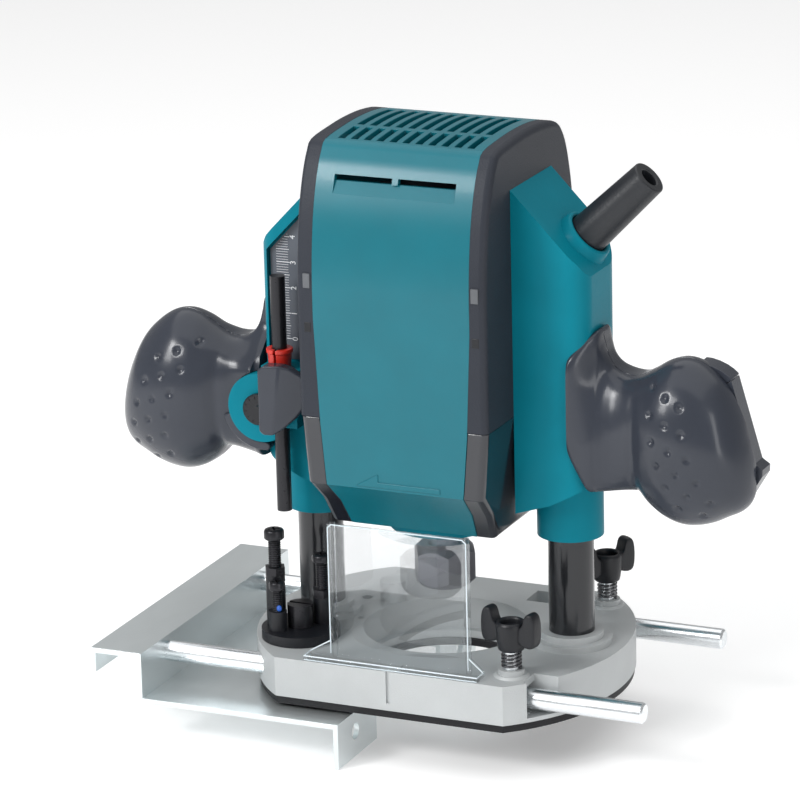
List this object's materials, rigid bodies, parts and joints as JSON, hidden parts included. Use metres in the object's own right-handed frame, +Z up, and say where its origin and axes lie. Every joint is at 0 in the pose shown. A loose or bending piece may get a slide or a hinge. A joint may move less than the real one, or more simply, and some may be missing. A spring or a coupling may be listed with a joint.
{
  "type": "plunge router",
  "caption": "Hand-held plunge router: motor housing with ball handles on two sprung posts, cast base with clear chip guard, depth turret and a sliding edge fence on rods.",
  "frame": {"origin": "on the spindle axis at the underside of the sole, in the middle of the opening for the bit", "axes": "+X from handle to handle, towards the handle with the switch and the cord guard; +Y to the back, away from the flat front with the chip guard; +Z up along the spindle"},
  "size_m": [0.2607, 0.1316, 0.2365],
  "materials": {
    "teal_plastic": "satin",
    "grey_plastic": "matt",
    "black_plastic": "satin",
    "grip_plastic": "satin",
    "black_rubber": "matt",
    "cast_aluminium": "sand cast, painted silver",
    "zinc_steel": "zinc plated",
    "bright_steel": "polished",
    "black_steel": "black oxide",
    "spring_steel": "oiled",
    "motor_steel": "plain",
    "clear_plastic": "clear polycarbonate",
    "red_plastic": "satin",
    "scale_plastic": "printed label",
    "brass": "plain",
    "copper": "plain",
    "carbon": "plain"
  },
  "bodies": {
    "base": {"base_casting": "cast_aluminium", "sole_plate": "black_plastic", "sole_screws": "bright_steel", "post_left": "black_steel", "post_right": "black_steel", "post_bolts": "bright_steel", "chip_guard": "clear_plastic", "turret_pivot_screw": "black_steel", "clamp_springs": "spring_steel", "plunge_springs": "spring_steel"},
    "turret": {"turret_block": "black_plastic", "stop_screw_short": "black_steel", "stop_lock_nuts": "black_steel"},
    "stop_mid": {"stop_screw_mid": "black_steel"},
    "stop_tall": {"stop_screw_tall": "black_steel"},
    "clamp_front": {"wing_knob_front": "black_plastic", "wing_stud_front": "bright_steel"},
    "clamp_rear": {"wing_knob_rear": "black_plastic", "wing_stud_rear": "bright_steel"},
    "fence": {"fence_plate": "zinc_steel", "guide_rod_front": "bright_steel", "guide_rod_rear": "bright_steel", "rod_screws": "bright_steel"},
    "housing": {"front_cover": "teal_plastic", "rear_cover": "teal_plastic", "top_grille": "teal_plastic", "frame_left": "grey_plastic", "frame_right": "grey_plastic", "side_cap_left": "black_plastic", "side_cap_right": "black_plastic", "column_left": "teal_plastic", "column_right": "teal_plastic", "bearing_neck": "teal_plastic", "top_bracket": "grey_plastic", "handle_left_front": "grip_plastic", "handle_left_rear": "grip_plastic", "handle_right_front": "grip_plastic", "handle_right_rear": "grip_plastic", "handle_screws": "bright_steel", "cord_guard": "black_rubber", "switch_body": "grey_plastic", "scale_plate": "scale_plastic", "housing_screws": "bright_steel", "guide_bushes": "brass", "stator_core": "motor_steel", "field_coils": "copper", "brush_holders": "brass", "carbon_brushes": "carbon", "bearings": "bright_steel"},
    "spindle": {"armature_shaft": "bright_steel", "armature_core": "motor_steel", "commutator": "copper", "cooling_fan": "grey_plastic", "collet": "motor_steel"},
    "nut": {"collet_nut": "motor_steel"},
    "depth_pole": {"stopper_pole": "black_steel"},
    "pointer": {"depth_pointer": "red_plastic"},
    "pole_clamp": {"pole_lever": "black_plastic"},
    "switch": {"switch_lever": "grip_plastic"},
    "lock": {"lock_lever": "black_plastic"}
  },
  "joints": [
    {"name": "plunge", "type": "slide", "parent": "base", "child": "housing", "axis": [0, 0, 1], "range_m": [-0.035, 0], "stiffness_N_per_m": 600, "springref_m": 0.06, "deforming": ["plunge_springs"]},
    {"name": "turret_turn", "type": "hinge", "parent": "base", "child": "turret", "pos_m": [-0.0475, -0.0305, 0.0205], "axis": [0, 0, 1], "continuous": true},
    {"name": "stop_mid_height", "type": "slide", "parent": "turret", "child": "stop_mid", "axis": [0, 0, 1], "range_m": [-0.006, 0.008]},
    {"name": "stop_tall_height", "type": "slide", "parent": "turret", "child": "stop_tall", "axis": [0, 0, 1], "range_m": [-0.008, 0.003]},
    {"name": "front_clamp_turn", "type": "hinge", "parent": "base", "child": "clamp_front", "pos_m": [0.0451, -0.0427, 0.03], "axis": [0, 0, 1], "range_deg": [0, 270]},
    {"name": "rear_clamp_turn", "type": "hinge", "parent": "base", "child": "clamp_rear", "pos_m": [0.0498, 0.0427, 0.03], "axis": [0, 0, 1], "range_deg": [0, 270]},
    {"name": "fence_slide", "type": "slide", "parent": "base", "child": "fence", "axis": [1, 0, 0], "range_m": [-0.048, 0.02]},
    {"name": "spindle_spin", "type": "hinge", "parent": "housing", "child": "spindle", "pos_m": [0, 0, 0.1], "axis": [0, 0, 1], "continuous": true},
    {"name": "collet_nut_turn", "type": "hinge", "parent": "spindle", "child": "nut", "pos_m": [0, 0, 0.044], "axis": [0, 0, 1], "continuous": true},
    {"name": "pole_slide", "type": "slide", "parent": "housing", "child": "depth_pole", "axis": [0, 0, -1], "range_m": [-0.035, 0]},
    {"name": "pointer_slide", "type": "slide", "parent": "depth_pole", "child": "pointer", "axis": [0, 0, 1], "range_m": [0, 0.02]},
    {"name": "pole_lever_turn", "type": "hinge", "parent": "housing", "child": "pole_clamp", "pos_m": [-0.065, -0.03, 0.106], "axis": [0, 1, 0], "range_deg": [-30, 0]},
    {"name": "switch_press", "type": "hinge", "parent": "housing", "child": "switch", "pos_m": [0.1175, -0.003, 0.127], "axis": [0, 1, 0], "range_deg": [0, 5], "stiffness_Nm_per_rad": 1, "springref_deg": -6.88},
    {"name": "lock_lever_turn", "type": "hinge", "parent": "housing", "child": "lock", "pos_m": [-0.0522, 0.025, 0.092], "axis": [0, 1, 0], "range_deg": [0, 40]}
  ]
}
